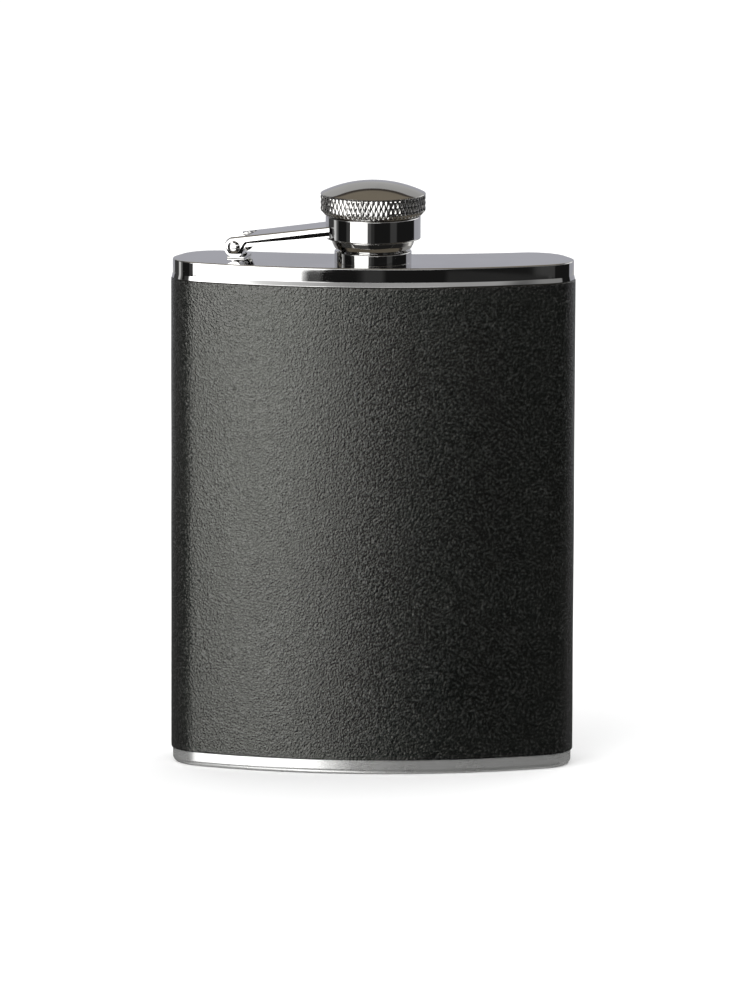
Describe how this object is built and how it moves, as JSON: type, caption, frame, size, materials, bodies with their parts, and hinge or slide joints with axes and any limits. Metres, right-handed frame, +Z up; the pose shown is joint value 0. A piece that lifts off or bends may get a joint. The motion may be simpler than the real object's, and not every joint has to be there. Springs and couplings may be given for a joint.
{
  "type": "hip flask",
  "caption": "Curved steel hip flask in a leather wrap, with a knurled screw cap held captive by a hinged arm.",
  "frame": {"origin": "on the resting face, straight under the axis of the neck", "axes": "+Z up out of the neck, +X across the width, away from the hinge, -Y out of the convex front; the hollow back faces +Y"},
  "size_m": [0.0956, 0.0292, 0.1401],
  "materials": {
    "polished_steel": "mirror polished stainless steel",
    "cap_steel": "polished steel, knurled on the cap's band",
    "base_steel": "fine satin steel",
    "body_steel": "plain welded steel tube, hidden under the leather",
    "leather": "black fine-grained leather, half matt",
    "seal_rubber": "dark food-grade silicone"
  },
  "bodies": {
    "flask": {"body_shell": "body_steel", "top_plate": "polished_steel", "base_plate": "base_steel", "leather_wrap": "leather", "neck": "polished_steel", "hinge_post": "polished_steel"},
    "arm": {"link_arm": "polished_steel", "swivel_collar": "polished_steel", "hinge_pin": "polished_steel"},
    "seal": {"gasket": "seal_rubber"},
    "cap": {"cap_shell": "cap_steel", "cap_sleeve": "cap_steel"}
  },
  "joints": [
    {"name": "arm_swing", "type": "hinge", "parent": "flask", "child": "arm", "pos_m": [-0.03175, 0.0064, 0.12395], "axis": [-0.1976, -0.9803, 0], "range_deg": [0, 170]},
    {"name": "cap_lift", "type": "slide", "parent": "arm", "child": "seal", "axis": [0, 0, 1], "range_m": [0, 0.003]},
    {"name": "cap_turn", "type": "hinge", "parent": "seal", "child": "cap", "pos_m": [0, 0, 0.133], "axis": [0, 0, 1], "range_deg": [0, 540]}
  ],
  "couplings": [
    {"joint": "cap_lift", "follows": "cap_turn", "m_per_rad": 0.00031831}
  ]
}
